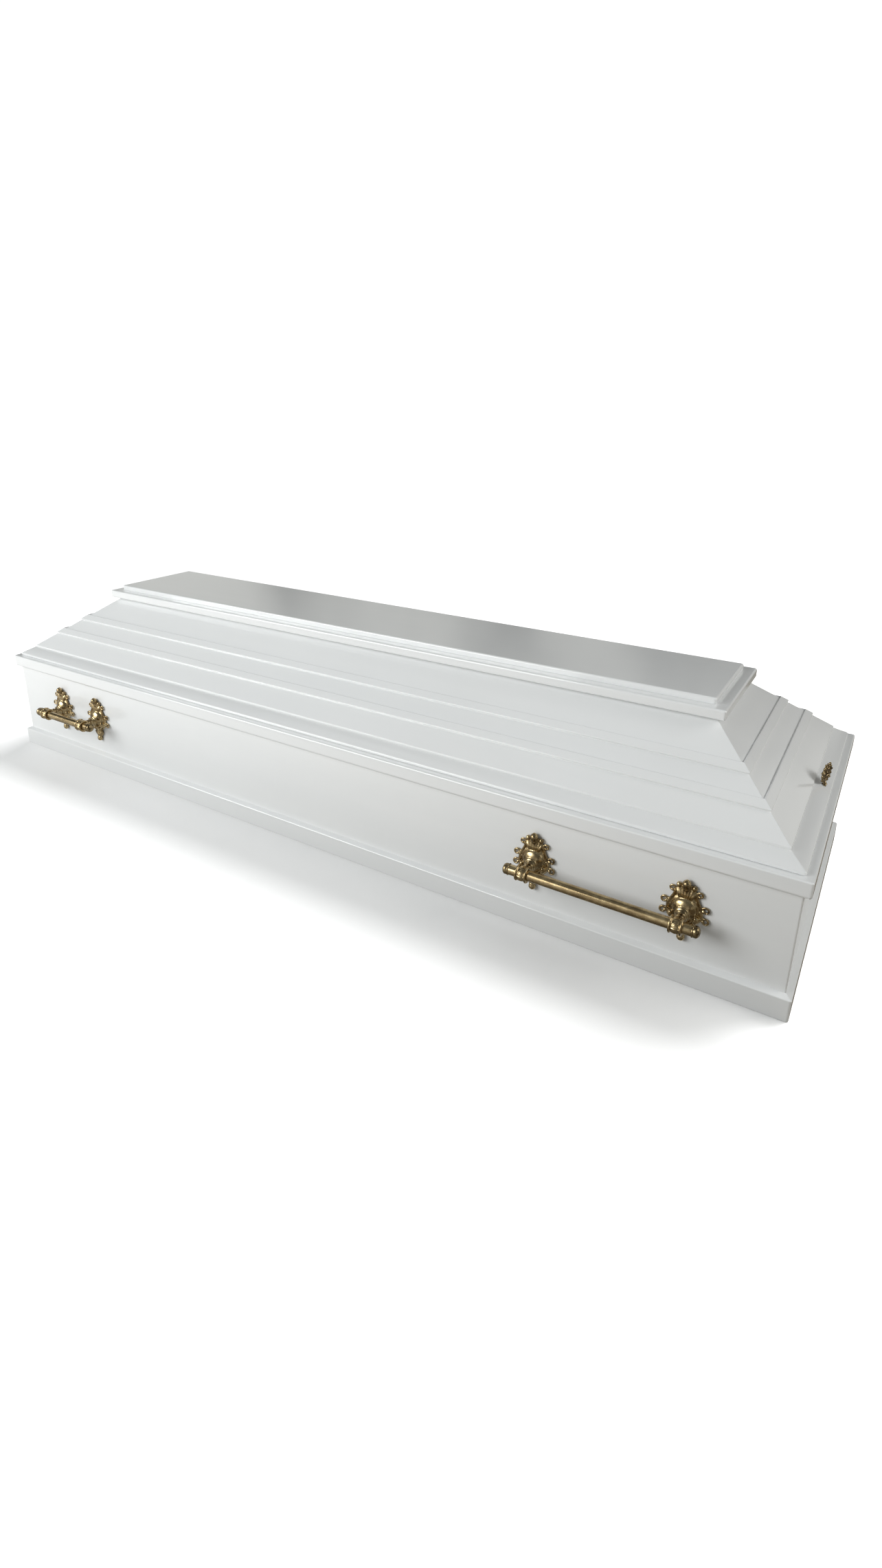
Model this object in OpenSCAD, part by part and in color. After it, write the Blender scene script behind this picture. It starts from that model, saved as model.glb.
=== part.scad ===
// Lacquered wooden coffin: a mitred box with a plinth and a rim, a hipped lid
// with raised strips and a flat top board, cast handles and two lid screws.
// +X runs towards the head end, -Y is the front side, +Z is up.
// The origin is on the ground, in the middle of the underside. Millimetres.

/* [Box] */
// Outer length over the rim
box_l = 2000; // [1650:10:2400]
// Outer width over the rim
box_w = 652; // [540:2:790]
// Height of the rim's underside above the ground
wall_h = 226; // [215:1:290]
// Thickness of the side and end boards
wall_t = 20; // [15:1:26]
// Thickness of the floor board
floor_t = 18; // [12:1:24]
// How far the rim stands out past the walls
rim_proud = 11; // [8:0.5:16]
// Thickness of the rim boards
rim_t = 30; // [22:1:38]
// How far the plinth stands out past the walls
plinth_proud = 11; // [7:0.5:16]
// Height of the plinth's upright face
plinth_h = 41; // [30:1:50]
// Extra height of the plinth's sloping top, at the wall
plinth_rise = 4.5; // [2:0.5:8]

/* [Lid] */
// Width of the rim's top that shows all round the lid
ledge = 13.5; // [9:0.5:18]
// Height of the skirt's upright edge
skirt_edge = 6; // [4:0.5:9]
// Width of the skirt's sloping top
skirt_run = 28.5; // [20:0.5:40]
// Rise of the skirt's sloping top
skirt_rise = 15.5; // [10:0.5:20]
// Horizontal run of each sloping panel
slope_run = 168.5; // [150:0.5:185]
// Height from the skirt's top to the top frame's underside
slope_rise = 128; // [100:1:160]
// Thickness of the sloping panels
panel_t = 18; // [12:1:22]
// Height of the upright lip along each panel's foot
panel_lip = 3.5; // [2:0.5:6]
// Width of a raised strip
strip_w = 18.5; // [12:0.5:24]
// How far a raised strip stands off its panel
strip_t = 4; // [2:0.5:7]
// Distance up the panel to the lower strip
strip_low = 52; // [40:1:64]
// Distance up the panel to the upper strip
strip_high = 109; // [95:1:125]
// Thickness of the top frame
frame_t = 19; // [14:1:26]
// How far the top frame stands out past the panels
frame_proud = 22.5; // [12:0.5:28]
// Thickness of the top board
top_t = 12; // [9:0.5:18]
// Width of the top frame that shows all round the top board
top_ledge = 22.5; // [14:0.5:30]

/* [Handles] */
// Diameter of a handle bar
bar_d = 19; // [15:0.5:26]
// Distance from the wall to the middle of a bar
bar_out = 50; // [42:1:60]
// Height of the bars above the ground
bar_z = 137; // [120:1:150]
// Distance between the two mounts of the long handle
long_span = 270; // [200:5:340]
// Distance between the two mounts of the short handle
short_span = 142; // [120:2:190]
// Distance from each end of the box to the nearer mount
mount_end = 180; // [140:5:240]
// Thickness of a mount's back plate
plate_t = 3.5; // [2.5:0.5:5]
// Length of bar that stands out past the middle of a mount, with its cap
bar_past = 38; // [32:1:50]

/* [Lid screws] */
// Diameter of a lid screw's openwork head
screw_head_d = 42; // [40:1:52]
// Thickness of the openwork head
screw_head_t = 4; // [3:0.5:6]
// Turn of the openwork head out of line with the end of the lid, in degrees
screw_turn = 18; // [0:1:40]
// Diameter of the screw's shank
shank_d = 6; // [5:0.5:7]

/* [Hidden] */
$fn = 48;

lacquer = "whitesmoke";
brass = "darkgoldenrod";

// Turn that brings a front piece to each side of the box.
FRONT = 0;
HEAD = 90;
BACK = 180;
FOOT = 270;

// Heights of the courses, from the ground up.
rim_top = wall_h + rim_t;
skirt_top = rim_top + skirt_edge + skirt_rise;
frame_z = skirt_top + slope_rise;
board_z = frame_z + frame_t;
top_z = board_z + top_t;

// Insets of the courses from the rim's outer line.
wall_in = rim_proud + wall_t;
foot_in = ledge + skirt_run;
panel_angle = atan2(slope_rise - panel_lip, slope_run);
panel_cut = panel_t / sin(panel_angle);
panel_back = panel_lip / tan(panel_angle);
skirt_rest = 4;
skirt_in = foot_in + panel_cut + skirt_rest;
slope_in = foot_in + slope_run;
frame_in = slope_in - frame_proud;
frame_rest = 5;
frame_hole = slope_in + panel_cut + frame_rest;
top_in = frame_in + top_ledge;
wall_face = box_w / 2 - rim_proud;

// How far short of the middle a mitred board's plan ends.
mitre_stop = 1;

// Edge roundings.
rim_round = 3;
rim_under_round = 6;
edge_round = 2.5;
lip_round = 1.5;
frame_round = 4;
board_under_round = 1;
strip_round = 1.6;

// Sleeves, arms and domes of the handle mounts.
fit = 0.2;
bore_r = bar_d / 2 + fit;
sleeve_t = 3;
sleeve_r = bore_r + sleeve_t;
sleeve_w = 22;
bead_r = 2.2;
arm_r = 6.5;
arm_collar_r = 10.5;
arm_collar_l = 3.5;
arm_flare_r = 9.5;
arm_flare_l = 5;
dome_r = 22;
dome_h = 14;
dome_up = 5;
dome_ball = (dome_r * dome_r + dome_h * dome_h) / (2 * dome_h);

// The mounts' back plates, drawn from the middle of the arm: a shield, by its
// half width, half height and how much it narrows upwards.
shield_w = 29;
shield_h = 26;
shield_taper = 0.2;

// Blocks of the plate's neck, crown, stem and the leaf on the stem: middle
// height, width and height.
blocks = [
    [30, 34, 16],
    [42.5, 26, 11],
    [-36, 12, 30],
    [-35, 24, 9]
];

// Scrolls on one side of the plate: centre, radius, first angle and width of
// the opening.
scroll_w = 3.6;
scrolls = [
    [[34, -9.5], 6.5, 155, 75],
    [[32.5, 10], 6.5, 205, 75],
    [[22.5, 35.5], 5.5, 190, 75]
];

// Knobs on the plate: place, radius and height of the foot. They are the bud,
// the two balls beside it, the stem and the drop. A small one ends each scroll.
scroll_knob = 2.8;
knobs = [
    [[0, 53], 7.5, plate_t],
    [[13, 46.5], 4.6, plate_t],
    [[-13, 46.5], 4.6, plate_t],
    [[0, -41], 6.5, plate_t - 1],
    [[0, -51.5], 7.2, plate_t]
];

// Bars and their caps.
cap_l = 13;
cap_r = bar_d / 2 + 1.4;
cap_bead = 1.8;
bar_end = bar_past - cap_l;
long_x = box_l / 2 - mount_end;
short_x = -long_x;

// Lid screws, which stand part of the way up the skirt's sloping top.
screw_share = 0.45;
screw_in = ledge + skirt_run * screw_share;
screw_seat = rim_top + skirt_edge + skirt_rise * screw_share;
shank_down = 22;
neck_h = 4;
neck_collar_h = 1.5;
neck_collar_d = shank_d + 3;

// The openwork heads: a rim, a hub and a ring of open petals.
head_r = screw_head_d / 2;
ring_w = 2.4;
hub_r = 0.34 * head_r;
hub_w = 0.2 * head_r;
petals = 8;
petal_r = 0.32 * head_r;
petal_out = 0.62 * head_r;

function unit(v) = v / norm(v);

// An arc of radius r that rounds corner p between its neighbours a and b.
function corner_arc(p, a, b, r, n = 6) =
    r == 0 ? [p] :
    let (
        u = unit(a - p),
        v = unit(b - p),
        half = acos(u * v) / 2,
        c = p + unit(u + v) * r / sin(half),
        s = p + u * r / tan(half) - c,
        e = p + v * r / tan(half) - c,
        from = atan2(s.y, s.x),
        sweep = (atan2(e.y, e.x) - from + 540) % 360 - 180
    )
    [for (i = [0:n]) c + r * [cos(from + sweep * i / n), sin(from + sweep * i / n)]];

// An outline with each corner rounded by its own radius.
function rounded(pts, radii) =
    let (n = len(pts))
    [for (i = [0:n - 1]) each corner_arc(pts[i], pts[(i + n - 1) % n], pts[(i + 1) % n], radii[i])];

function rect(u0, z0, u1, z1) = [[u0, z0], [u1, z0], [u1, z1], [u0, z1]];

// A board on one side of the box, its section given as inset and height,
// mitred at 45 degrees in plan from the box's outer corners.
module course(section, turn) {
    long = turn == FRONT || turn == BACK;
    run = long ? box_l : box_w;
    across = long ? box_w : box_l;
    deep = box_w / 2 - mitre_stop;
    rotate([0, 0, turn])
        intersection() {
            rotate([90, 0, 90])
                linear_extrude(run, center = true)
                    polygon([for (p = section) [p.x - across / 2, p.y]]);
            linear_extrude(top_z)
                polygon([
                    [-run / 2, -across / 2],
                    [run / 2, -across / 2],
                    [run / 2 - deep, deep - across / 2],
                    [deep - run / 2, deep - across / 2]
                ]);
        }
}

module floor_board() {
    color(lacquer)
        translate([0, 0, floor_t / 2])
            cube([box_l - 2 * wall_in, box_w - 2 * wall_in, floor_t], center = true);
}

module wall(turn) {
    color(lacquer)
        course(rect(rim_proud, 0, wall_in, wall_h), turn);
}

module plinth(turn) {
    out = rim_proud - plinth_proud;
    color(lacquer)
        course(rounded(
            [[out, 0], [rim_proud, 0], [rim_proud, plinth_h + plinth_rise], [out, plinth_h]],
            [0, 0, 0, edge_round]), turn);
}

module rim(turn) {
    color(lacquer)
        difference() {
            course(rounded(rect(0, wall_h, wall_in, rim_top),
                [rim_under_round, 0, 0, rim_round]), turn);
            shank_bores();
        }
}

module lid_skirt(turn) {
    color(lacquer)
        difference() {
            course(rounded(
                [[ledge, rim_top], [skirt_in, rim_top], [skirt_in, skirt_top],
                    [foot_in, skirt_top], [ledge, rim_top + skirt_edge]],
                [edge_round, 0, 0, 0, edge_round]), turn);
            shank_bores();
        }
}

module lid_panel(turn) {
    color(lacquer)
        course(rounded(
            [[foot_in, skirt_top], [foot_in, skirt_top + panel_lip], [slope_in, frame_z],
                [slope_in + panel_cut, frame_z], [foot_in + panel_cut - panel_back, skirt_top]],
            [0, lip_round, 0, 0, 0]), turn);
}

// A point on the panel's face, a distance up it and off it.
function on_panel(up, off) =
    [foot_in, skirt_top + panel_lip]
    + up * [cos(panel_angle), sin(panel_angle)]
    + off * [-sin(panel_angle), cos(panel_angle)];

module strip(up, turn) {
    color(lacquer)
        course(rounded(
            [on_panel(up, 0), on_panel(up + strip_w, 0),
                on_panel(up + strip_w, strip_t), on_panel(up, strip_t)],
            [0, 0, strip_round, strip_round]), turn);
}

module top_frame(turn) {
    color(lacquer)
        course(rounded(rect(frame_in, frame_z, frame_hole, board_z),
            [frame_round, 0, 0, frame_round]), turn);
}

// The top board's section across a given width.
module top_section(width) {
    polygon(rounded(rect(-width / 2, board_z, width / 2, top_z),
        [board_under_round, board_under_round, frame_round, frame_round]));
}

module top_board() {
    color(lacquer)
        intersection() {
            rotate([90, 0, 90])
                linear_extrude(box_l - 2 * top_in, center = true)
                    top_section(box_w - 2 * top_in);
            rotate([90, 0, 0])
                linear_extrude(box_w - 2 * top_in, center = true)
                    top_section(box_l - 2 * top_in);
        }
}

// A flat ring, by its outer radius and its width.
module ring(r, w) {
    difference() {
        circle(r);
        circle(r - w);
    }
}

// A C-scroll's outline: a ring that is open over a gap of so many degrees.
module scroll(at, r, start, gap) {
    reach = 2 * r;
    translate(at)
        difference() {
            ring(r + scroll_w / 2, scroll_w);
            polygon(concat([[0, 0]],
                [for (q = [start, start + gap / 2, start + gap]) reach * [cos(q), sin(q)]]));
        }
}

// A cast knob that stands on the wall: a round foot with a domed top.
module knob(at, r, foot) {
    translate([at.x, at.y, 0])
        rotate_extrude()
            polygon(concat([[0, 0]],
                [for (q = [0:15:90]) [r * cos(q), foot + r * sin(q)]]));
}

// The back plate's outline: a shield with a neck, a crown, a stem and scrolls
// on each side.
module plate_outline() {
    polygon([for (a = [0:10:350])
        [shield_w * cos(a) * (1 - shield_taper * sin(a)), shield_h * sin(a)]]);
    for (b = blocks)
        translate([0, b[0]])
            square([b[1], b[2]], center = true);
    for (side = [0, 1], c = scrolls)
        mirror([side, 0])
            scroll(c[0], c[1], c[2], c[3]);
}

// The boss at the middle of a plate: a low dome cut from a large ball.
module dome() {
    translate([0, dome_up, 0])
        intersection() {
            translate([0, 0, plate_t + dome_h - dome_ball])
                sphere(dome_ball);
            translate([0, 0, plate_t / 2])
                cylinder(r = 1.05 * dome_r, h = plate_t + dome_h);
        }
}

// The arm that carries the bar: a post with a collar near the dome and a flare
// where it meets the sleeve.
module arm() {
    cylinder(r = arm_r, h = bar_out);
    translate([0, 0, plate_t + dome_h])
        cylinder(r = arm_collar_r, h = arm_collar_l);
    translate([0, 0, bar_out - bore_r - arm_flare_l - bead_r / 2])
        cylinder(r1 = arm_r, r2 = arm_flare_r, h = arm_flare_l);
}

// One cast mount: plate, dome, scrolls, arm and the sleeve that holds the bar.
// Drawn with its arm along +Z and its bud towards +Y.
module mount_shape() {
    difference() {
        union() {
            linear_extrude(plate_t)
                plate_outline();
            dome();
            arm();
            for (k = knobs)
                knob(k[0], k[1], k[2]);
            for (side = [-1, 1], c = scrolls)
                let (q = c[2] + c[3], free = c[0] + c[1] * [cos(q), sin(q)])
                    knob([side * free.x, free.y], scroll_knob, plate_t);
            translate([0, 0, bar_out])
                rotate([0, 90, 0])
                    sleeve();
        }
        translate([0, 0, bar_out])
            rotate([0, 90, 0])
                cylinder(r = bore_r, h = 2 * sleeve_w, center = true);
    }
}

// The sleeve round the bar, with a rounded bead at each edge.
module sleeve() {
    cylinder(r = sleeve_r, h = sleeve_w, center = true);
    for (side = [-1, 1])
        translate([0, 0, side * (sleeve_w / 2 - bead_r)])
            rotate_extrude()
                translate([sleeve_r, 0])
                    circle(bead_r);
}

// Puts a handle piece on the front or the back wall, facing outwards, at x.
module on_wall(side, x) {
    front = side == "front";
    translate([x, front ? -wall_face : wall_face, bar_z])
        rotate([90, 0, front ? 0 : 180])
            children();
}

module mount(side, x) {
    color(brass)
        on_wall(side, x)
            mount_shape();
}

// A straight bar between its two mounts, reaching a little past each.
module bar(side, x, span) {
    color(brass)
        on_wall(side, x)
            translate([0, 0, bar_out])
                rotate([0, 90, 0])
                    cylinder(d = bar_d, h = span + 2 * bar_end, center = true);
}

// A turned cap on a bar's end: a bead, a short neck and a domed nose.
module cap(side, x, way) {
    out = side == "front" ? way : -way;
    color(brass)
        on_wall(side, x)
            translate([out * bar_end, 0, bar_out])
                rotate([0, out * 90, 0])
                    rotate_extrude()
                        polygon(rounded(
                            [[0, 0], [cap_r, 0], [cap_r, 2 * cap_bead],
                                [cap_r - cap_bead / 2, 2 * cap_bead],
                                [cap_r - cap_bead / 2, cap_l], [0, cap_l]],
                            [0, cap_bead, cap_bead / 3, 0, cap_l / 2, 0]));
}

// The bores that both lid screws pass through.
module shank_bores() {
    for (way = [-1, 1])
        translate([way * (box_l / 2 - screw_in), 0, screw_seat - shank_down - 1])
            cylinder(d = shank_d + 2 * fit, h = shank_down + skirt_rise);
}

// The openwork rosette of a lid screw's head.
module rosette() {
    ring(head_r, ring_w);
    ring(hub_r, hub_w);
    for (i = [0:petals - 1])
        rotate(i * 360 / petals)
            translate([petal_out, 0])
                ring(petal_r, ring_w);
}

// A lid screw: shank, collar and an upright openwork head.
module lid_screw(way) {
    color(brass)
        translate([way * (box_l / 2 - screw_in), 0, screw_seat]) {
            translate([0, 0, -shank_down])
                cylinder(d = shank_d, h = shank_down + neck_h + ring_w);
            translate([0, 0, neck_h - neck_collar_h])
                cylinder(d = neck_collar_d, h = neck_collar_h);
            translate([0, 0, neck_h + head_r])
                rotate([90, 0, 90 - way * screw_turn])
                    linear_extrude(screw_head_t, center = true)
                        rosette();
        }
}

floor_board();
wall(FRONT);  // side_board_front
wall(BACK);  // side_board_back
wall(HEAD);  // end_board_head
wall(FOOT);  // end_board_foot
plinth(FRONT);  // plinth_front
plinth(BACK);  // plinth_back
plinth(HEAD);  // plinth_head
plinth(FOOT);  // plinth_foot
rim(FRONT);  // rim_front
rim(BACK);  // rim_back
rim(HEAD);  // rim_head
rim(FOOT);  // rim_foot
lid_skirt(FRONT);  // lid_skirt_front
lid_skirt(BACK);  // lid_skirt_back
lid_skirt(HEAD);  // lid_skirt_head
lid_skirt(FOOT);  // lid_skirt_foot
lid_panel(FRONT);  // lid_panel_front
lid_panel(BACK);  // lid_panel_back
lid_panel(HEAD);  // lid_panel_head
lid_panel(FOOT);  // lid_panel_foot
strip(strip_low, FRONT);  // low_strip_front
strip(strip_low, BACK);  // low_strip_back
strip(strip_low, HEAD);  // low_strip_head
strip(strip_low, FOOT);  // low_strip_foot
strip(strip_high, FRONT);  // high_strip_front
strip(strip_high, BACK);  // high_strip_back
strip(strip_high, HEAD);  // high_strip_head
strip(strip_high, FOOT);  // high_strip_foot
top_frame(FRONT);  // top_frame_front
top_frame(BACK);  // top_frame_back
top_frame(HEAD);  // top_frame_head
top_frame(FOOT);  // top_frame_foot
top_board();
mount("front", long_x);  // long_handle_mount_front_outer
mount("front", long_x - long_span);  // long_handle_mount_front_inner
mount("back", long_x);  // long_handle_mount_back_outer
mount("back", long_x - long_span);  // long_handle_mount_back_inner
mount("front", short_x);  // short_handle_mount_front_outer
mount("front", short_x + short_span);  // short_handle_mount_front_inner
mount("back", short_x);  // short_handle_mount_back_outer
mount("back", short_x + short_span);  // short_handle_mount_back_inner
bar("front", long_x - long_span / 2, long_span);  // long_handle_bar_front
bar("back", long_x - long_span / 2, long_span);  // long_handle_bar_back
bar("front", short_x + short_span / 2, short_span);  // short_handle_bar_front
bar("back", short_x + short_span / 2, short_span);  // short_handle_bar_back
cap("front", long_x, 1);  // long_bar_cap_front_outer
cap("front", long_x - long_span, -1);  // long_bar_cap_front_inner
cap("back", long_x, 1);  // long_bar_cap_back_outer
cap("back", long_x - long_span, -1);  // long_bar_cap_back_inner
cap("front", short_x, -1);  // short_bar_cap_front_outer
cap("front", short_x + short_span, 1);  // short_bar_cap_front_inner
cap("back", short_x, -1);  // short_bar_cap_back_outer
cap("back", short_x + short_span, 1);  // short_bar_cap_back_inner
lid_screw(1);  // lid_screw_head
lid_screw(-1);  // lid_screw_foot
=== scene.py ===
"""The looks of a white lacquered coffin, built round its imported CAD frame. Everything is in metres."""

import math

import bmesh
import bpy
from mathutils import Matrix, Vector

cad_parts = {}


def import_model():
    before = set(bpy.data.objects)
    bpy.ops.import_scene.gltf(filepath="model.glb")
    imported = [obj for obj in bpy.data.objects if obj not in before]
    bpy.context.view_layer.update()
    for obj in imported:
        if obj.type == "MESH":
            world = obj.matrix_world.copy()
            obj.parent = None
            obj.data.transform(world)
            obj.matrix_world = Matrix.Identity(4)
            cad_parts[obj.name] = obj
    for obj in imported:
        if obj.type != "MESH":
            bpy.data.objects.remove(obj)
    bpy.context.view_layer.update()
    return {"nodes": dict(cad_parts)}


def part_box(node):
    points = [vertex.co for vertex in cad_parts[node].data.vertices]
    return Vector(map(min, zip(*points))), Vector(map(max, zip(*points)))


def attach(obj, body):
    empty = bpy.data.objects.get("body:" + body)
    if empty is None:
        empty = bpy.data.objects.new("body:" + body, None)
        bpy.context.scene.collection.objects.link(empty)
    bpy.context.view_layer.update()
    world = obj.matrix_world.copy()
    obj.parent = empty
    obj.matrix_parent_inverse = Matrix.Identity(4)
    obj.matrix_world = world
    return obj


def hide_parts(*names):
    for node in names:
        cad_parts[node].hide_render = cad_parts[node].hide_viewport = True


MM = 0.001
FRONT, HEAD, BACK, FOOT = 0, 90, 180, 270
SIDES = {"front": FRONT, "head": HEAD, "back": BACK, "foot": FOOT}

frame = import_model()


# ---------------------------------------------------------------- sizes read from the frame

def low(node):
    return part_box(node)[0]


def high(node):
    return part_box(node)[1]


LENGTH = high("rim_head").x - low("rim_foot").x
WIDTH = high("rim_back").y - low("rim_front").y


def inset_of(node):
    """The nearest and the furthest inset of a front board from the rim's outer line."""
    return low(node).y + WIDTH / 2, high(node).y + WIDTH / 2


# Roundings of the boards' edges, of edges that touch a neighbour, and of the upright and hip corners.
RIM_ROUND = 3 * MM
RIM_UNDER_ROUND = 6 * MM
EDGE_ROUND = 2.5 * MM
LIP_ROUND = 1.5 * MM
FRAME_ROUND = 4 * MM
STRIP_ROUND = 1.6 * MM
TOUCH = 0.3 * MM
CORNER = 4.5 * MM
HIP = 1.2 * MM

# How far the plinth's top falls outwards, and the height of the skirt's upright edge.
PLINTH_SLOPE = 4.5 * MM
SKIRT_EDGE = 6 * MM

# The raised strips, the lip at a panel's foot, and how far the top frame stands proud of the panels.
PANEL_LIP = 3.5 * MM
PANEL_T = 18 * MM
STRIP_W = 18.5 * MM
STRIP_T = 4 * MM
FRAME_PROUD = 22.5 * MM

# A wall's upright corner, and the top board's lower edge and corners.
WALL_CORNER = 3 * MM
BOARD_UNDER_ROUND = 0.6 * MM
BOARD_CORNER = CORNER + 1 * MM
BOARD_CORNER_LEAST = 1 * MM

# Angles up to which a piece is shaded smooth.
BOARD_SMOOTH = 35
CAP_SMOOTH = 50
CAST_SMOOTH = 180


# ---------------------------------------------------------------- meshes

def new_piece(name, mesh, material, nodes, smooth_angle=BOARD_SMOOTH):
    """A finished piece: shaded smooth up to an angle, riding on the body, in place of its CAD nodes."""
    piece = bpy.data.objects.new(name, mesh)
    bpy.context.scene.collection.objects.link(piece)
    mesh.polygons.foreach_set("use_smooth", [True] * len(mesh.polygons))
    mesh.set_sharp_from_angle(angle=math.radians(smooth_angle))
    mesh.materials.clear()
    mesh.materials.append(material)
    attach(piece, "root")
    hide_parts(*nodes)
    return piece


def flat_faces_first(piece):
    """Keeps broad faces flat and lets only the roundings beside them shade smoothly."""
    weighted = piece.modifiers.new("flat_faces_first", "WEIGHTED_NORMAL")
    weighted.keep_sharp = True
    weighted.weight = 80


def mesh_of(name, vertices, faces):
    mesh = bpy.data.meshes.new(name)
    mesh.from_pydata([tuple(v) for v in vertices], [], faces)
    bm = bmesh.new()
    bm.from_mesh(mesh)
    bmesh.ops.recalc_face_normals(bm, faces=bm.faces)
    bm.to_mesh(mesh)
    bm.free()
    return mesh


def skin(name, loops):
    """A closed mesh from loops of the same number of points: walls between them and a face at each end."""
    count = len(loops[0])
    last = (len(loops) - 1) * count
    vertices = [point for loop in loops for point in loop]
    faces = []
    for start in range(0, last, count):
        for i in range(count):
            after = (i + 1) % count
            faces.append((start + i, start + after, start + count + after, start + count + i))
    faces.append(tuple(range(count)))
    faces.append(tuple(last + i for i in range(count)))
    return mesh_of(name, vertices, faces)


def corner_arc(point, before, after, radius, steps):
    """An arc that rounds the corner between two neighbours of a 2D outline."""
    if radius == 0:
        return [point]
    u = (before - point).normalized()
    v = (after - point).normalized()
    half = math.acos(max(-1, min(1, u.dot(v)))) / 2
    centre = point + (u + v).normalized() * radius / math.sin(half)
    reach = radius / math.tan(half)
    first = point + u * reach - centre
    last = point + v * reach - centre
    start = math.atan2(first.y, first.x)
    sweep = (math.atan2(last.y, last.x) - start + 3 * math.pi) % (2 * math.pi) - math.pi
    return [
        centre + radius * Vector((math.cos(start + sweep * i / steps), math.sin(start + sweep * i / steps)))
        for i in range(steps + 1)
    ]


def rounded(corners, steps=8):
    """An outline whose corners are (x, y, radius)."""
    points = [Vector(c[:2]) for c in corners]
    outline = []
    for i, (x, y, radius) in enumerate(corners):
        outline += corner_arc(points[i], points[i - 1], points[(i + 1) % len(points)], radius, steps)
    return outline


def side_path(inset, radius, run, across, steps=6):
    """One side of the box at an inset, seen from above: half a corner, the straight, half a corner."""
    edge = inset + radius
    path = []
    for middle, start in ((-run / 2 + edge, 225), (run / 2 - edge, 270)):
        for k in range(steps + 1):
            angle = math.radians(start + 45 * k / steps)
            path.append((middle + radius * math.cos(angle), -across / 2 + edge + radius * math.sin(angle)))
    return path


def board_mesh(name, section, turn, corner):
    """A mitred board: its section, as (inset, height), is carried along one side of the box."""
    run, across = (LENGTH, WIDTH) if turn in (FRONT, BACK) else (WIDTH, LENGTH)
    outer = min(p.x for p in section)
    spin = Matrix.Rotation(math.radians(turn), 4, "Z")
    rails = []
    for point in section:
        radius = max(corner - (point.x - outer), HIP)
        path = side_path(point.x, radius, run, across)
        rails.append([spin @ Vector((x, y, point.y)) for x, y in path])
    return skin(name, list(zip(*rails)))


# ---------------------------------------------------------------- materials

def node_tree(name):
    material = bpy.data.materials.new(name)
    material.use_nodes = True
    tree = material.node_tree
    return material, tree, tree.nodes["Principled BSDF"]


def add(tree, kind, inputs=None, **settings):
    """A node with its settings and its inputs, which are values or other nodes' sockets."""
    node = tree.nodes.new(kind)
    for key, value in settings.items():
        setattr(node, key, value)
    for key, value in (inputs or {}).items():
        if isinstance(value, bpy.types.NodeSocket):
            tree.links.new(value, node.inputs[key])
        else:
            node.inputs[key].default_value = value
    return node


def stretched_noise(tree, stretch, scale, detail=3.0, rough=0.5, space="Object"):
    """Noise in the object's own space, or in another, stretched along its axes."""
    place = add(tree, "ShaderNodeTexCoord")
    mapping = add(tree, "ShaderNodeMapping", {"Vector": place.outputs[space], "Scale": stretch})
    noise = add(
        tree,
        "ShaderNodeTexNoise",
        {"Vector": mapping.outputs["Vector"], "Scale": scale, "Detail": detail, "Roughness": rough},
    )
    return noise.outputs["Fac"]


def ramp(tree, fac, stops):
    """A colour ramp from (position, colour) stops."""
    node = add(tree, "ShaderNodeValToRGB", {"Fac": fac})
    elements = node.color_ramp.elements
    while len(elements) < len(stops):
        elements.new(0.5)
    for element, (position, colour) in zip(elements, stops):
        element.position = position
        element.color = (*colour, 1)
    return node.outputs["Color"]


def scalar(tree, fac, from_low, from_high, to_low, to_high):
    node = add(
        tree,
        "ShaderNodeMapRange",
        {"Value": fac, "From Min": from_low, "From Max": from_high, "To Min": to_low, "To Max": to_high},
    )
    return node.outputs["Result"]


def bump(tree, height, strength, distance, under=None):
    inputs = {"Height": height, "Strength": strength, "Distance": distance}
    if under is not None:
        inputs["Normal"] = under
    return add(tree, "ShaderNodeBump", inputs).outputs["Normal"]


# Colours of the lacquer, from its darkest to its lightest clouds, and of the brass.
LACQUER_TONES = [(0, (0.835, 0.848, 0.855)), (1, (0.878, 0.886, 0.886))]
BRASS_PATINA = (0.09, 0.06, 0.032)
BRASS_DULL = (0.39, 0.292, 0.158)
BRASS_BRIGHT = (0.56, 0.44, 0.25)


def lacquer(name, along):
    """White gloss lacquer on wood: a clear coat over paint, with faint brush streaks along one axis."""
    material, tree, shader = node_tree(name)
    brush = (0.5, 9, 9) if along == "x" else (9, 0.5, 9)
    cloud = stretched_noise(tree, (1, 1, 1), 2.3, 4)
    streak = stretched_noise(tree, brush, 2.4, 2)
    tone = add(tree, "ShaderNodeMath", {0: cloud, 1: streak}, operation="ADD").outputs["Value"]
    tree.links.new(
        ramp(tree, scalar(tree, tone, 0.4, 1.6, 0, 1), LACQUER_TONES),
        shader.inputs["Base Color"],
    )
    shader.inputs["Roughness"].default_value = 0.29
    peel = stretched_noise(tree, (1, 1, 1), 210, 2)
    wave = stretched_noise(tree, (1, 1, 1), 7, 2)
    tree.links.new(bump(tree, peel, 0.1, 0.06 * MM), shader.inputs["Normal"])
    coat = bump(tree, wave, 0.3, 1.0 * MM)
    tree.links.new(bump(tree, peel, 0.04, 0.05 * MM, coat), shader.inputs["Coat Normal"])
    shader.inputs["Coat Weight"].default_value = 1
    shader.inputs["Coat Roughness"].default_value = 0.03
    shader.inputs["Coat IOR"].default_value = 1.52
    shader.inputs["IOR"].default_value = 1.45
    return material


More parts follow.
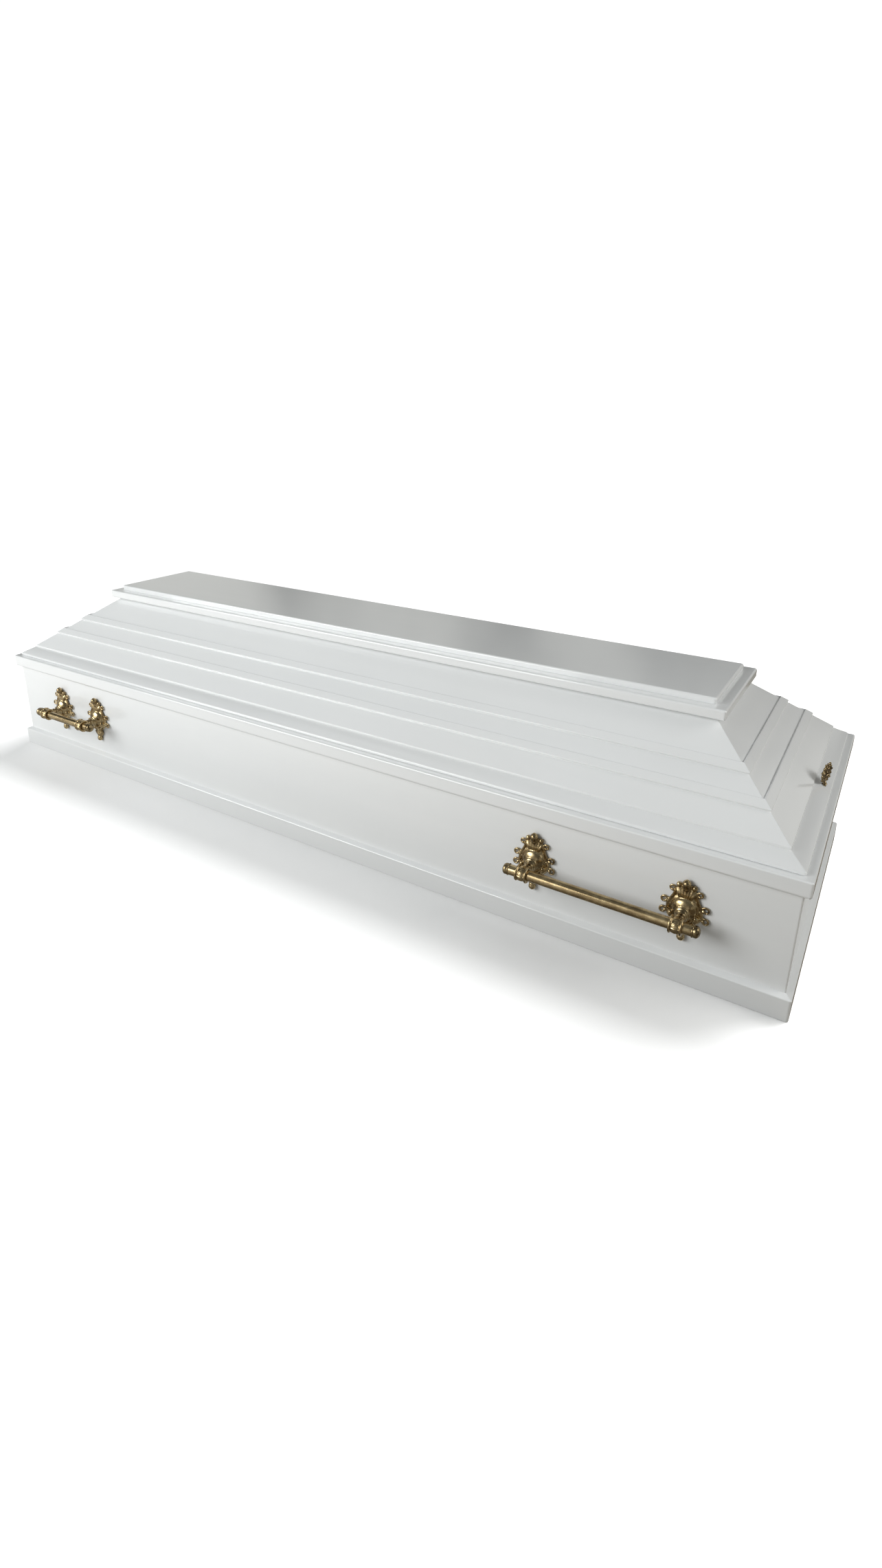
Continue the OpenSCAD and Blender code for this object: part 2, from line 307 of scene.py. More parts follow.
def brass(name, brushed, patina, tone=1.0):
    """Aged brass: warm metal with brown patina in patches, fine scratches and a soft brushed bump.
    A lower tone browns all of it."""
    material, tree, shader = node_tree(name)
    patch = stretched_noise(tree, (1, 1, 1), 55, 5, 0.62)
    fine = stretched_noise(tree, brushed, 130, 4, 0.6)
    shader.inputs["Metallic"].default_value = 1
    dark = tuple(patina * a + (1 - patina) * b for a, b in zip(BRASS_PATINA, BRASS_DULL))
    tree.links.new(
        ramp(tree, patch, [
            (place, tuple(tone * channel for channel in colour))
            for place, colour in ((0.33, dark), (0.47, BRASS_DULL), (0.66, BRASS_BRIGHT))
        ]),
        shader.inputs["Base Color"],
    )
    tree.links.new(scalar(tree, fine, 0.3, 0.7, 0.16, 0.36), shader.inputs["Roughness"])
    normal = bump(tree, patch, 0.25, 0.6 * MM)
    tree.links.new(bump(tree, fine, 0.25, 0.15 * MM, normal), shader.inputs["Normal"])
    return material


LACQUER_LONG = lacquer("white_lacquer_long", "x")
LACQUER_CROSS = lacquer("white_lacquer_cross", "y")
BRASS_CAST = brass("cast_brass", (1, 1, 1), 1.0)
BRASS_BAR = brass("brushed_brass", (0.06, 1, 1), 0.25)
BRASS_DARK = brass("browned_brass", (1, 1, 1), 1.0, 0.66)


def lacquer_for(turn):
    return LACQUER_LONG if turn in (FRONT, BACK) else LACQUER_CROSS


# ---------------------------------------------------------------- boards

def course(name, section, corner):
    """The four mitred boards of one course, each in place of the CAD node of its name."""
    for side, turn in SIDES.items():
        node = f"{name}_{side}"
        mesh = board_mesh(node, section, turn, corner)
        flat_faces_first(new_piece(node, mesh, lacquer_for(turn), [node]))


def rectangle(inset_0, z_0, inset_1, z_1, radii):
    corners = [(inset_0, z_0), (inset_1, z_0), (inset_1, z_1), (inset_0, z_1)]
    return rounded([(*c, r) for c, r in zip(corners, radii)])


def walls():
    wall_0, wall_1 = inset_of("side_board_front")
    section = rectangle(wall_0, 0, wall_1, high("side_board_front").z, [0, TOUCH, TOUCH, 0])
    for side, turn in SIDES.items():
        node = f"side_board_{side}" if turn in (FRONT, BACK) else f"end_board_{side}"
        mesh = board_mesh(f"wall_{side}", section, turn, WALL_CORNER)
        flat_faces_first(new_piece(f"wall_{side}", mesh, lacquer_for(turn), [node]))


def plinth():
    out, wall = inset_of("plinth_front")
    top = high("plinth_front").z
    edge = top - PLINTH_SLOPE
    section = rounded([(out, 0, 1 * MM), (wall, 0, 0), (wall, top, 0), (out, edge, EDGE_ROUND)])
    course("plinth", section, CORNER)


def rim():
    outer, inner = inset_of("rim_front")
    section = rectangle(
        outer, low("rim_front").z, inner, high("rim_front").z,
        [RIM_UNDER_ROUND, TOUCH, TOUCH, RIM_ROUND],
    )
    course("rim", section, CORNER)


def skirt():
    outer, inner = inset_of("lid_skirt_front")
    bottom = low("lid_skirt_front").z
    top = high("lid_skirt_front").z
    foot = inset_of("lid_panel_front")[0]
    section = rounded([
        (outer, bottom, EDGE_ROUND),
        (inner, bottom, 0),
        (inner, top, 0),
        (foot, top, 0),
        (outer, bottom + SKIRT_EDGE, EDGE_ROUND),
    ])
    course("lid_skirt", section, CORNER)


def panel_line():
    """The foot of the panels' outer face, as inset and height, and the slope's angle."""
    foot = inset_of("lid_panel_front")[0]
    bottom = low("lid_panel_front").z
    top = high("lid_panel_front").z
    upper = inset_of("top_frame_front")[0] + FRAME_PROUD
    start = Vector((foot, bottom + PANEL_LIP))
    return start, math.atan2(top - start.y, upper - foot)


def panels():
    start, angle = panel_line()
    bottom = low("lid_panel_front").z
    top = high("lid_panel_front").z
    cut = PANEL_T / math.sin(angle)
    back = PANEL_LIP / math.tan(angle)
    upper = start.x + (top - start.y) / math.tan(angle)
    section = rounded([
        (start.x, bottom, 0),
        (start.x, start.y, LIP_ROUND),
        (upper, top, 0),
        (upper + cut, top, 0),
        (start.x + cut - back, bottom, 0),
    ])
    course("lid_panel", section, HIP)


def strips():
    start, angle = panel_line()
    along = Vector((math.cos(angle), math.sin(angle)))
    off = Vector((-math.sin(angle), math.cos(angle)))
    for name in ("low_strip", "high_strip"):
        up = (low(f"{name}_front").z - start.y) / math.sin(angle)
        end = up + STRIP_W
        corners = [(up, 0, 0), (end, 0, 0), (end, STRIP_T, STRIP_ROUND), (up, STRIP_T, STRIP_ROUND)]
        section = rounded([(*(start + along * s + off * t), r) for s, t, r in corners])
        course(name, section, HIP)


def top_frame():
    outer, inner = inset_of("top_frame_front")
    section = rectangle(
        outer, low("top_frame_front").z, inner, high("top_frame_front").z,
        [FRAME_ROUND, 0, 0, FRAME_ROUND],
    )
    course("top_frame", section, CORNER)


def top_board():
    """The flat board on top: a slab with rounded corners and edges."""
    bottom = low("top_board").z
    far = high("top_board")
    steps = 8
    profile = [(BOARD_UNDER_ROUND, bottom), (0, bottom + BOARD_UNDER_ROUND)]
    for angle in range(0, 91, 10):
        inset = FRAME_ROUND * (1 - math.cos(math.radians(angle)))
        drop = FRAME_ROUND * (1 - math.sin(math.radians(angle)))
        profile.append((inset, far.z - drop))
    loops = []
    for inset, z in profile:
        radius = max(BOARD_CORNER - inset, BOARD_CORNER_LEAST)
        reach_x = far.x - inset - radius
        reach_y = far.y - inset - radius
        loop = []
        for quarter in range(4):
            sx = 1 if quarter in (0, 3) else -1
            sy = 1 if quarter in (0, 1) else -1
            for k in range(steps + 1):
                angle = math.radians(90 * quarter + 90 * k / steps)
                x = sx * reach_x + radius * math.cos(angle)
                y = sy * reach_y + radius * math.sin(angle)
                loop.append((x, y, z))
        loops.append(loop)
    mesh = skin("top_board_finish", loops)
    flat_faces_first(new_piece("top_board_finish", mesh, LACQUER_LONG, ["top_board"]))


# ---------------------------------------------------------------- castings

# A turned profile starts this far from its axis, in millimetres, so that no ring shrinks to a point.
AXIS = 0.01

# The bar: its radius in millimetres, how far its middle stands off the wall, and its height.
BAR_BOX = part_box("long_handle_bar_front")
BAR_R = (BAR_BOX[1].y - BAR_BOX[0].y) / 2 / MM
BAR_OUT = -BAR_BOX[0].y - BAR_R * MM - high("side_board_back").y
BAR_Z = (BAR_BOX[0].z + BAR_BOX[1].z) / 2

# The castings, in millimetres: the sleeve's beads, its belt and its half length, the boss's height on
# the plate, the cap, and the lid screw with its head's turn in degrees.
SLEEVE_R = 12.9
SLEEVE_BEAD = 2.0
SLEEVE_FLARE = 12.2
SLEEVE_WAIST = 11.4
SLEEVE_HALF = 10.4
SLEEVE_BEADS_AT = 9.0
BOSS_UP = 4.5
CAP_L = 13
CAP_DOME = 6
SCREW_HEAD_R = 21
SCREW_NECK = 4
SCREW_SHANK = 22
SCREW_TURN = 18

# How finely each casting is melted, in millimetres, and the share of its triangles that is kept.
MOUNT_VOXEL, MOUNT_KEEP = 0.75, 0.45
SCREW_VOXEL, SCREW_KEEP = 0.45, 0.35


def ball(bm, centre, radii):
    """An egg by its centre and its three radii, in millimetres."""
    place = Matrix.Translation(Vector(centre) * MM) @ Matrix.Diagonal((*(Vector(radii) * MM), 1))
    bmesh.ops.create_uvsphere(bm, u_segments=24, v_segments=16, radius=1, matrix=place)


def tube(bm, points, radii, sides=12):
    """A round rod along points, with its own radius at each, closed at both ends. In millimetres."""
    points = [Vector(p) * MM for p in points]
    rings = []
    across = None
    for i, point in enumerate(points):
        along = (points[min(i + 1, len(points) - 1)] - points[max(i - 1, 0)]).normalized()
        if across is None:
            across = along.orthogonal()
        across = (across - along * across.dot(along)).normalized()
        other = along.cross(across)
        ring = []
        for k in range(sides):
            angle = 2 * math.pi * k / sides
            offset = across * math.cos(angle) + other * math.sin(angle)
            ring.append(bm.verts.new(point + offset * radii[i] * MM))
        rings.append(ring)
    for ring, after in zip(rings, rings[1:]):
        for k in range(sides):
            bm.faces.new((ring[k], ring[(k + 1) % sides], after[(k + 1) % sides], after[k]))
    bm.faces.new(list(reversed(rings[0])))
    bm.faces.new(rings[-1])


def lathe(bm, profile, place, steps=48):
    """A turned shape: a closed profile of (radius, height) in millimetres, turned about Z, then placed."""
    rings = []
    for radius, height in profile:
        ring = []
        for k in range(steps):
            angle = 2 * math.pi * k / steps
            point = Vector((radius * math.cos(angle), radius * math.sin(angle), height)) * MM
            ring.append(bm.verts.new(place @ point))
        rings.append(ring)
    for ring, after in zip(rings, rings[1:] + rings[:1]):
        for k in range(steps):
            bm.faces.new((ring[k], ring[(k + 1) % steps], after[(k + 1) % steps], after[k]))


def between(points, share):
    """A point part of the way along a list of points, on a smooth curve through them."""
    spans = len(points) - 1
    i = min(int(share * spans), spans - 1)
    t = share * spans - i
    p0, p1, p2, p3 = (Vector(points[max(0, min(spans, i + j))]) for j in (-1, 0, 1, 2))
    slope = p2 - p0
    bend = 2 * p0 - 5 * p1 + 4 * p2 - p3
    twist = 3 * p1 - p0 - 3 * p2 + p3
    return 0.5 * (2 * p1 + slope * t + bend * t * t + twist * t ** 3)


def cord(bm, points, radius_0, radius_1, steps=24):
    """A round moulding on a smooth curve through points, thinning from one end to the other."""
    path = [between(points, k / steps) for k in range(steps + 1)]
    tube(bm, path, [radius_0 + (radius_1 - radius_0) * k / steps for k in range(steps + 1)])


def volute(bm, centre, reach, start, way):
    """A scroll that winds inwards to an eye. It starts at an angle, in degrees, and turns one way."""
    steps = 24
    path = []
    radii = []
    for k in range(steps + 1):
        t = k / steps
        angle = math.radians(start + way * 360 * SCROLL_TURNS * t)
        r = reach * (1 - 0.42 * t * t)
        path.append((centre[0] + r * math.cos(angle), centre[1] + r * math.sin(angle), SCROLL_Z + 0.8 * t))
        radii.append(SCROLL_THICK * (1 - 0.25 * t))
    tube(bm, path, radii, 10)
    ball(bm, path[-1], (SCROLL_EYE, SCROLL_EYE, SCROLL_EYE))


def cast(name, build, voxel, keep):
    """Melts overlapping closed shapes into one skin, softens it and thins its triangles."""
    bm = bmesh.new()
    build(bm)
    bmesh.ops.recalc_face_normals(bm, faces=bm.faces)
    rough = bpy.data.meshes.new(name + "_rough")
    bm.to_mesh(rough)
    bm.free()
    work = bpy.data.objects.new(name + "_work", rough)
    bpy.context.scene.collection.objects.link(work)
    remesh = work.modifiers.new("one_skin", "REMESH")
    remesh.mode = "VOXEL"
    remesh.voxel_size = voxel * MM
    soften = work.modifiers.new("soften", "SMOOTH")
    soften.factor = 0.5
    soften.iterations = 2
    thin = work.modifiers.new("thin", "DECIMATE")
    thin.ratio = keep
    evaluated = work.evaluated_get(bpy.context.evaluated_depsgraph_get())
    mesh = bpy.data.meshes.new_from_object(evaluated)
    mesh.name = name
    bpy.data.objects.remove(work)
    bpy.data.meshes.remove(rough)
    return mesh


# Every scroll's turns, height over the wall, thickness and eye.
SCROLL_TURNS = 0.86
SCROLL_Z = 2.8
SCROLL_THICK = 2.1
SCROLL_EYE = 2.7

# Scrolls on one side of a mount's plate: place, reach, first angle and way it winds. Then the points
# of the strand that carries each from the plate's edge.
SCROLLS = [
    ((22.5, 35.5), 5.0, 215, -1, [(9, 27), (14, 31)]),
    ((33.5, 10.0), 5.6, 160, -1, [(18, 30), (20.5, 20), (26, 13)]),
    ((34.5, -10.5), 5.6, 130, -1, [(25, 6), (27.5, -1), (29, -5)]),
]


def plate_form(bm):
    """The back plate: a shield that narrows upwards into a fluted crown, with a beaded edge."""
    ball(bm, (0, 1, 1.2), (27.5, 26, 4.2))
    ball(bm, (0, 22, 1.2), (19, 20, 4.0))
    ball(bm, (0, 36, 1.6), (12, 13, 4.2))
    for reach, height in ((0, 49), (5.5, 47.5), (10.5, 43.5), (14.5, 38)):
        for way in (-1, 1):
            flute = [(way * reach * 0.45, 22, 4), (way * reach * 0.8, 32, 6.4), (way * reach, height, 3.6)]
            cord(bm, flute, 3.4, 2.3)
    upper_edge = [(6, 48, 3), (15, 37, 3.2), (19.5, 25, 3.4), (24, 15, 3.6)]
    lower_edge = [(24, 15, 3.6), (28, 3, 3.6), (26, -11, 3.6), (15, -23, 3.4), (4, -30, 3)]
    for way in (-1, 1):
        cord(bm, [(way * x, y, z) for x, y, z in upper_edge], 2.0, 2.2)
        cord(bm, [(way * x, y, z) for x, y, z in lower_edge], 2.2, 2)
        for place, reach, start, wind, strand in SCROLLS:
            first = start if way > 0 else 180 - start
            volute(bm, (way * place[0], place[1]), reach, first, way * wind)
            joint = [place[i] + reach * f(math.radians(start)) for i, f in enumerate((math.cos, math.sin))]
            cord(bm, [(way * x, y, SCROLL_Z) for x, y in [*strand, joint]], 2.6, SCROLL_THICK, 12)
        # Fluted knobs beside the arm, and the leaves that cup the boss from below.
        ball(bm, (way * 20.5, -9, 7.5), (6.3, 6.3, 6.3))
        for k in range(5):
            angle = math.radians(-60 + 30 * k)
            ball(bm, (way * (20.5 + 2.6 * math.sin(angle)), -9, 7.5 + 2.6 * math.cos(angle)), (1.7, 6.6, 4.6))
        cord(bm, [(way * 2, -26, 4), (way * 10, -23, 8.5), (way * 17, -17, 8), (way * 23, -15, 4)], 3.2, 1.8)
        cord(bm, [(way * 1, -17, 12), (way * 8, -16, 12), (way * 15, -12, 9)], 2.8, 1.8)


def mount_form(bm):
    """A cast handle mount, its arm along +Z and its bud towards +Y, in millimetres."""
    plate_form(bm)
    # The boss on its seat.
    ball(bm, (0, BOSS_UP, 3.5), (22, 21.5, 14.5))
    seat = [(20, 1.5), (23.4, 1.5), (24.2, 3), (23.6, 4.8), (21.5, 5.6), (20, 5)]
    lathe(bm, seat, Matrix.Translation((0, BOSS_UP * MM, 0)))
    # The bud on its neck, with a ball on each side.
    ball(bm, (0, 52.4, 8), (7.3, 7.0, 7.3))
    ball(bm, (0, 57.4, 8), (3.6, 3.2, 3.6))
    ball(bm, (0, 45.5, 6), (7.4, 2.6, 5.6))
    ball(bm, (0, 41.5, 5), (5.6, 3.4, 5))
    for way in (-1, 1):
        ball(bm, (way * 12.6, 46, 4.2), (4.6, 4.6, 4.4))
    # Stem with a three-lobed leaf, and the drop.
    cord(bm, [(0, -22, 3), (0, -34, 4), (0, -46, 4)], 6.2, 4.6)
    ball(bm, (0, -38, 4), (7.4, 8.5, 6))
    for way in (-1, 1):
        cord(bm, [(way * 2, -26, 4), (way * 10, -31, 5), (way * 11.5, -37, 3.6), (way * 6, -43, 4)], 3.2, 2.4)
        ball(bm, (way * 9.6, -35, 3.4), (4.6, 5.6, 4))
    ball(bm, (0, -45.6, 4.4), (7.0, 1.9, 5.2))
    ball(bm, (0, -51, 4.5), (7.0, 7.0, 6.2))
    ball(bm, (0, -57, 4.5), (2.4, 1.7, 2.4))
    # Arm, with a ringed root on the boss and a flare at the sleeve.
    root = [(11.4, 4), (11.4, 15.5), (12.6, 16.4), (12.8, 18), (11.8, 19.2), (10.2, 19.8), (9.8, 21.4)]
    waist = [(8.4, 22.4), (7, 24.4), (6.6, 29)]
    flare = [(8.2, 30.2), (8.8, 31.8), (8.2, 33.2), (7.6, 34.6), (9.2, 39)]
    lathe(bm, [(AXIS, 4), *root, *waist, *flare, (AXIS, 39)], Matrix.Identity(4))
    # Sleeve round the bar: two beads and a belt of leaves between them.
    turn = Matrix.Translation((0, 0, BAR_OUT)) @ Matrix.Rotation(math.radians(90), 4, "Y")
    around = [math.radians(degrees) for degrees in range(0, 360, 30)]
    bead = [SLEEVE_BEAD * Vector((math.cos(angle), math.sin(angle))) for angle in around]
    for side in (-1, 1):
        lathe(bm, [(SLEEVE_R + b.x, side * SLEEVE_BEADS_AT + b.y) for b in bead], turn)
    inner = BAR_R + 0.2
    belt = [(SLEEVE_FLARE, -SLEEVE_HALF), (SLEEVE_WAIST, 0), (SLEEVE_FLARE, SLEEVE_HALF)]
    lathe(bm, [(inner, -SLEEVE_HALF), *belt, (inner, SLEEVE_HALF)], turn)
    leaves = 9
    for k in range(leaves):
        angle = 2 * math.pi * k / leaves
        round_bar = Matrix.Translation((0, 0, BAR_OUT)) @ Matrix.Rotation(-angle, 4, "X")
        leaf(bm, round_bar @ Matrix.Translation((0, 0, SLEEVE_WAIST * MM)))


def leaf(bm, place):
    """A small ribbed leaf that lies along the sleeve, in its own frame with +Z outwards."""
    for y, half, tall in ((-2.9, 5.2, 1.6), (0, 6.8, 2.5), (2.9, 5.2, 1.6)):
        grow = Matrix.Translation((0, y * MM, 0)) @ Matrix.Diagonal((half * MM, 1.6 * MM, tall * MM, 1))
        bmesh.ops.create_uvsphere(bm, u_segments=16, v_segments=10, radius=1, matrix=place @ grow)


def wall_place(x, way):
    """Where a mount stands on the front (way -1) or the back (way 1) wall."""
    wall = high("side_board_back").y
    turn = Matrix.Rotation(math.radians(0 if way < 0 else 180), 4, "Z")
    place = Matrix.Translation((x, way * wall, BAR_Z))
    return place @ turn @ Matrix.Rotation(math.radians(90), 4, "X")


def cap_form(bm):
    """A turned cap on a bar's end: a bead, a groove and a domed nose, along +Z, in millimetres."""
    bead, body = BAR_R + 1.3, BAR_R + 0.5
    profile = [(AXIS, 0), (BAR_R + 0.4, 0)]
    profile += [(bead - 0.2, 0.6), (bead, 1.5), (bead - 0.2, 2.4)]
    profile += [(BAR_R, 3), (BAR_R, 3.5), (body, 4.2)]
    for degrees in range(0, 86, 8):
        angle = math.radians(degrees)
        profile.append((body * math.cos(angle), CAP_L - CAP_DOME + CAP_DOME * math.sin(angle)))
    lathe(bm, [*profile, (AXIS, CAP_L)], Matrix.Identity(4), 64)


def plain_mesh(name, build):
    bm = bmesh.new()
    build(bm)
    bmesh.ops.remove_doubles(bm, verts=bm.verts, dist=0.02 * MM)
    bmesh.ops.recalc_face_normals(bm, faces=bm.faces)
    mesh = bpy.data.meshes.new(name)
    bm.to_mesh(mesh)
    bm.free()
    return mesh


def screw_form(bm):
    """A lid screw: shank, collar and an upright openwork head, its seat at the origin, in millimetres."""
    middle = SCREW_NECK + SCREW_HEAD_R
    shank = [(2.6, -SCREW_SHANK), (3, 0.6 - SCREW_SHANK), (3, 2.4)]
    collar = [(4.3, 2.6), (4.5, 3.2), (4.3, 3.8), (3.2, 4.2), (2.6, 6.5)]
    lathe(bm, [(AXIS, -SCREW_SHANK), *shank, *collar, (AXIS, 6.5)], Matrix.Identity(4), 32)

    def spot(angle, reach, out=0.0):
        return (reach * math.cos(angle), out, middle + reach * math.sin(angle))

    def hoop(reach, thick):
        steps = 48
        tube(bm, [spot(2 * math.pi * k / steps, reach) for k in range(steps + 1)], [thick] * (steps + 1), 10)

    hoop(SCREW_HEAD_R * 0.3, 1.5)
    hoop(SCREW_HEAD_R * 0.62, 1.1)
    ball(bm, spot(0, 0), (3.8, 3.0, 3.8))
    petals = 7
    for k in range(petals):
        angle = 2 * math.pi * k / petals - math.pi / 2
        half = math.pi / petals
        # A petal: two bent ribs from the hub that meet in a beaded point, with a bead in its middle.
        for way in (-1, 1):
            root = spot(angle + way * half * 0.3, SCREW_HEAD_R * 0.32)
            belly = [spot(angle + way * half * 0.62, SCREW_HEAD_R * share, 0.4) for share in (0.56, 0.74)]
            cord(bm, [root, *belly, spot(angle, SCREW_HEAD_R - 1.8)], 1.3, 1.2, 14)
        ball(bm, spot(angle, SCREW_HEAD_R - 2.4), (2.3, 2.0, 2.3))
        ball(bm, spot(angle + half, SCREW_HEAD_R * 0.8), (2.6, 1.9, 2.6))
        ball(bm, spot(angle, SCREW_HEAD_R * 0.62), (1.9, 1.9, 1.9))
        # The spoke to the ball between two petals.
        spoke = [spot(angle + half, SCREW_HEAD_R * share) for share in (0.32, 0.78)]
        cord(bm, spoke, 1.2, 1.0, 6)


def lid_screws():
    mesh = cast("lid_screw", screw_form, SCREW_VOXEL, SCREW_KEEP)
    for end, way in (("head", 1), ("foot", -1)):
        node = f"lid_screw_{end}"
        middle = (low(node) + high(node)) / 2
        piece = new_piece(f"openwork_screw_{end}", mesh.copy(), BRASS_DARK, [node], CAST_SMOOTH)
        seat = Vector((middle.x, middle.y, high(node).z - (2 * SCREW_HEAD_R + SCREW_NECK) * MM))
        turn = Matrix.Rotation(math.radians(90 - way * SCREW_TURN), 4, "Z")
        piece.matrix_world = Matrix.Translation(seat) @ turn


def handles():
    mount_mesh = cast("mount", mount_form, MOUNT_VOXEL, MOUNT_KEEP)
    cap_mesh = plain_mesh("cap", cap_form)
    for size, outwards in (("long", 1), ("short", -1)):
        for side, way in (("front", -1), ("back", 1)):
            bar_low, bar_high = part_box(f"{size}_handle_bar_{side}")
            for end, out in (("outer", outwards), ("inner", -outwards)):
                node = f"{size}_handle_mount_{side}_{end}"
                name = f"{size}_mount_{side}_{end}"
                piece = new_piece(name, mount_mesh.copy(), BRASS_CAST, [node], CAST_SMOOTH)
                piece.matrix_world = wall_place((low(node).x + high(node).x) / 2, way)
                node = f"{size}_bar_cap_{side}_{end}"
                name = f"{size}_cap_{side}_{end}"
                cap = new_piece(name, cap_mesh.copy(), BRASS_DARK, [node], CAP_SMOOTH)
                place = (bar_low + bar_high) / 2
                place.x = bar_high.x if out > 0 else bar_low.x
                cap.matrix_world = Matrix.Translation(place) @ Matrix.Rotation(math.radians(out * 90), 4, "Y")


# ---------------------------------------------------------------- stage

FLOOR_REACH = 30
# White as the camera sees it behind the coffin, a little over 1 so that no grey is left in it.
PAPER_WHITE = 1.02
# What the floor throws back, from the foot end to the head end.
FLOOR_BOUNCE = [(0, (0.43, 0.425, 0.415)), (0.5, (0.32, 0.305, 0.285)), (1, (0.09, 0.078, 0.06))]
# The room's tones, from the horizon up to straight overhead.
ROOM_TONES = [
    (0.0, (0.46, 0.465, 0.45)),
    (0.14, (0.38, 0.38, 0.36)),
    (0.38, (0.18, 0.18, 0.168)),
    (0.6, (0.13, 0.135, 0.13)),
    (1.0, (0.2, 0.21, 0.215)),
]


def stage():
    """A pale floor that fades to white away from the coffin. Only its look from the camera is bright:
    what it throws back on the coffin is that of a grey floor, darker towards the head end."""
    mesh = bpy.data.meshes.new("floor")
    corners = [(x * FLOOR_REACH, y * FLOOR_REACH, 0) for x, y in ((-1, -1), (1, -1), (1, 1), (-1, 1))]
    mesh.from_pydata(corners, [], [(0, 1, 2, 3)])
    floor = bpy.data.objects.new("floor", mesh)
    bpy.context.scene.collection.objects.link(floor)
    material = bpy.data.materials.new("pale_floor")
    material.use_nodes = True
    tree = material.node_tree
    tree.nodes.clear()
    path = add(tree, "ShaderNodeLightPath")
    pale = add(tree, "ShaderNodeBsdfDiffuse", {"Color": (0.93, 0.93, 0.93, 1)})
    place = add(tree, "ShaderNodeTexCoord")
    parts = add(tree, "ShaderNodeSeparateXYZ", {"Vector": place.outputs["Object"]})
    shade = ramp(tree, scalar(tree, parts.outputs["X"], -0.4, 1.0, 0, 1), FLOOR_BOUNCE)
    grey = add(tree, "ShaderNodeBsdfDiffuse", {"Color": shade})
    near = add(tree, "ShaderNodeMixShader", {"Fac": path.outputs["Is Camera Ray"]})
    tree.links.new(grey.outputs["BSDF"], near.inputs[1])
    tree.links.new(pale.outputs["BSDF"], near.inputs[2])
    white = add(tree, "ShaderNodeEmission", {"Color": (1, 1, 1, 1), "Strength": PAPER_WHITE})
    squash = add(tree, "ShaderNodeMapping", {"Vector": place.outputs["Object"], "Scale": (0.75, 1, 1)})
    distance = add(tree, "ShaderNodeVectorMath", {0: squash.outputs["Vector"]}, operation="LENGTH")
    away = add(
        tree,
        "ShaderNodeMapRange",
        {"Value": distance.outputs["Value"], "From Min": 1.0, "From Max": 2.6, "To Min": 0.0, "To Max": 1.0},
        interpolation_type="SMOOTHSTEP",
    )
    seen_away = add(
        tree,
        "ShaderNodeMath",
        {0: away.outputs["Result"], 1: path.outputs["Is Camera Ray"]},
        operation="MULTIPLY",
    )
    whole = add(tree, "ShaderNodeMixShader", {"Fac": seen_away.outputs["Value"]})
    tree.links.new(near.outputs["Shader"], whole.inputs[1])
    tree.links.new(white.outputs["Emission"], whole.inputs[2])
    out = add(tree, "ShaderNodeOutputMaterial")
    tree.links.new(whole.outputs["Shader"], out.inputs["Surface"])
    mesh.materials.append(material)
    return floor


def world():
    """White behind the coffin, and round it a soft room that is dimmer overhead."""
    scene_world = bpy.data.worlds.new("studio")
    bpy.context.scene.world = scene_world
    scene_world.use_nodes = True
    tree = scene_world.node_tree
    tree.nodes.clear()
    seen = add(tree, "ShaderNodeBackground", {"Color": (1, 1, 1, 1), "Strength": PAPER_WHITE})
    place = add(tree, "ShaderNodeTexCoord")
    parts = add(tree, "ShaderNodeSeparateXYZ", {"Vector": place.outputs["Generated"]})
    room = ramp(tree, parts.outputs["Z"], ROOM_TONES)
    # Soft, tall shapes round the room, for the lacquer to mirror.
    shapes = stretched_noise(tree, (1, 1, 0.45), 5.5, 3.0, 0.45, "Generated")
    strength = scalar(tree, shapes, 0.38, 0.62, 0.15, 1.9)
    lit = add(tree, "ShaderNodeBackground", {"Color": room, "Strength": strength})
    path = add(tree, "ShaderNodeLightPath")
    mix = add(tree, "ShaderNodeMixShader", {"Fac": path.outputs["Is Camera Ray"]})
    tree.links.new(lit.outputs["Background"], mix.inputs[1])
    tree.links.new(seen.outputs["Background"], mix.inputs[2])
    out = add(tree, "ShaderNodeOutputWorld")
    tree.links.new(mix.outputs["Shader"], out.inputs["Surface"])


def area_light(name, place, target, size, power, colour):
    data = bpy.data.lights.new(name, "AREA")
    data.shape = "RECTANGLE"
    data.size, data.size_y = size
    data.energy = power
    data.color = colour
    light = bpy.data.objects.new(name, data)
    light.location = place
    light.rotation_euler = (Vector(target) - Vector(place)).to_track_quat("-Z", "Y").to_euler()
    bpy.context.scene.collection.objects.link(light)


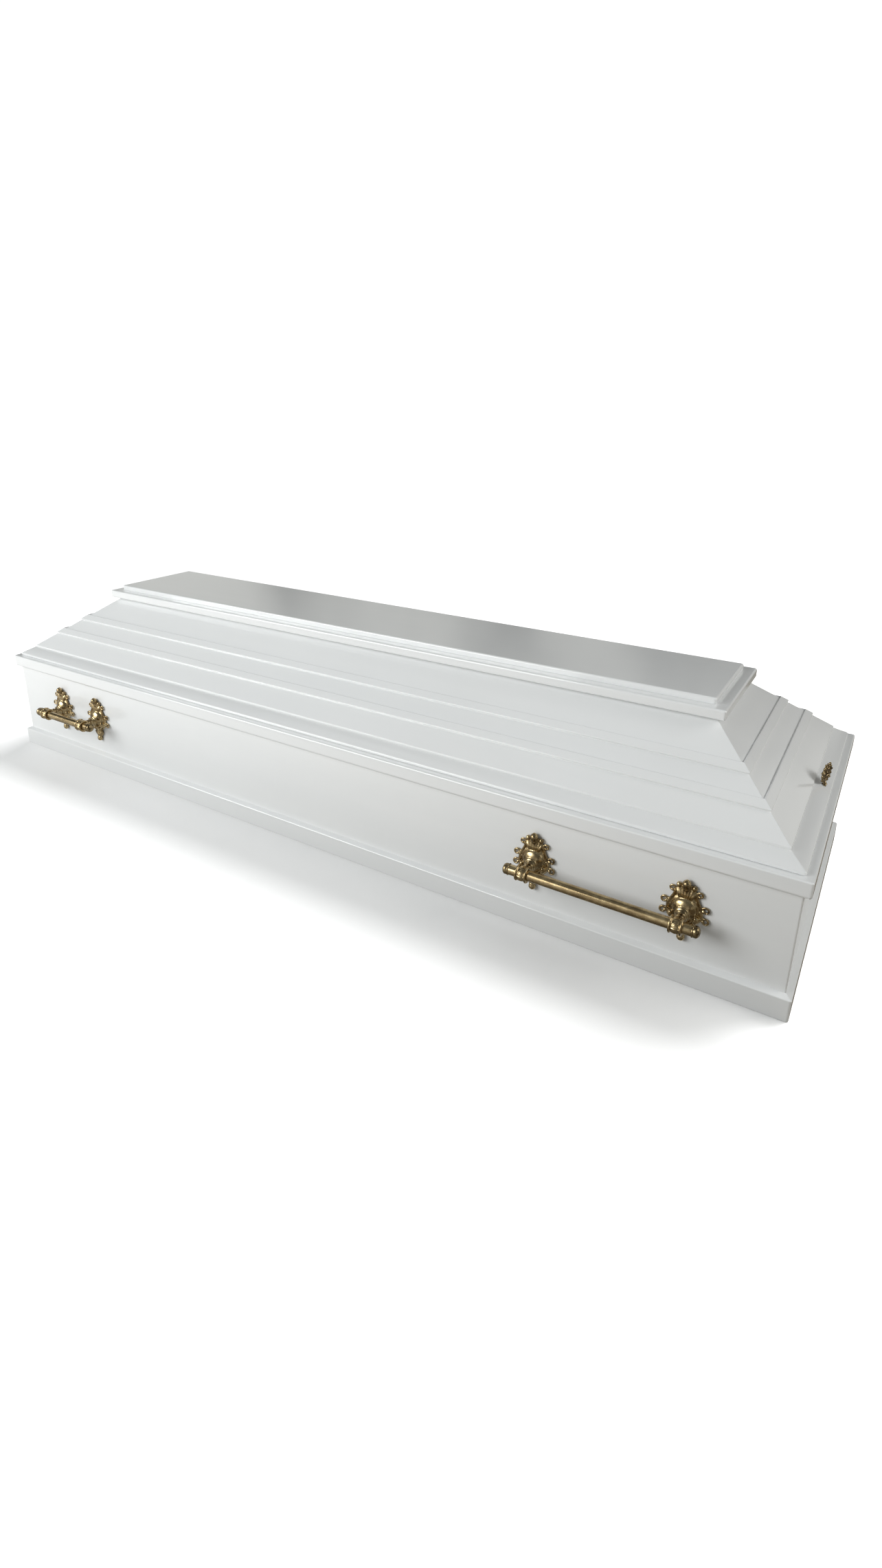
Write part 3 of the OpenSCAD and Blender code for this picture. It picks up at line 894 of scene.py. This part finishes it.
def lights(floor):
    """A broad window light from the front left, a weaker one on the head end, and a sun that only the
    floor takes, for its soft shadow."""
    area_light("window", (-2.6, -3.8, 2.3), (0.1, 0, 0.25), (3.4, 2.4), 190, (0.98, 1, 1))
    area_light("fill", (3.2, 0.3, 2.0), (0.9, 0, 0.3), (1.6, 1.4), 44, (1, 0.995, 0.97))
    data = bpy.data.lights.new("floor_sun", "SUN")
    data.energy = 5.6
    data.angle = math.radians(48)
    sun = bpy.data.objects.new("floor_sun", data)
    sun.rotation_euler = Vector((-0.35, -0.9, -0.85)).to_track_quat("-Z", "Y").to_euler()
    bpy.context.scene.collection.objects.link(sun)
    receivers = bpy.data.collections.new("floor_only")
    receivers.objects.link(floor)
    sun.light_linking.receiver_collection = receivers


def camera():
    """The photograph's view: a wide lens close to the near end, looking down along the coffin."""
    place = Vector((1.0335, -1.4521, 0.9184))
    yaw, pitch, roll = 0.5405, -0.3355, 0.0127
    forward = Vector((-math.sin(yaw) * math.cos(pitch), math.cos(yaw) * math.cos(pitch), math.sin(pitch)))
    level = Vector((math.cos(yaw), math.sin(yaw), 0))
    above = level.cross(forward)
    right = math.cos(roll) * level + math.sin(roll) * above
    up = math.cos(roll) * above - math.sin(roll) * level
    data = bpy.data.cameras.new("photo_view")
    data.sensor_fit = "AUTO"
    data.sensor_width = 36
    data.lens = 17.928
    data.shift_x = -0.0011
    data.shift_y = -0.0701
    view = bpy.data.objects.new("photo_view", data)
    turn = Matrix((right, up, -forward)).transposed().to_4x4()
    view.matrix_world = Matrix.Translation(place) @ turn
    bpy.context.scene.collection.objects.link(view)
    bpy.context.scene.camera = view


# ---------------------------------------------------------------- the coffin

camera()
world()
lights(stage())
walls()
plinth()
rim()
skirt()
panels()
strips()
top_frame()
top_board()
handles()
lid_screws()

# The CAD nodes that show as they are: the floor board and the bars.
for node, piece in frame["nodes"].items():
    if not piece.hide_render:
        piece.data.materials.clear()
        piece.data.materials.append(BRASS_BAR if "handle_bar" in node else LACQUER_LONG)

bpy.context.scene.view_settings.view_transform = "Standard"
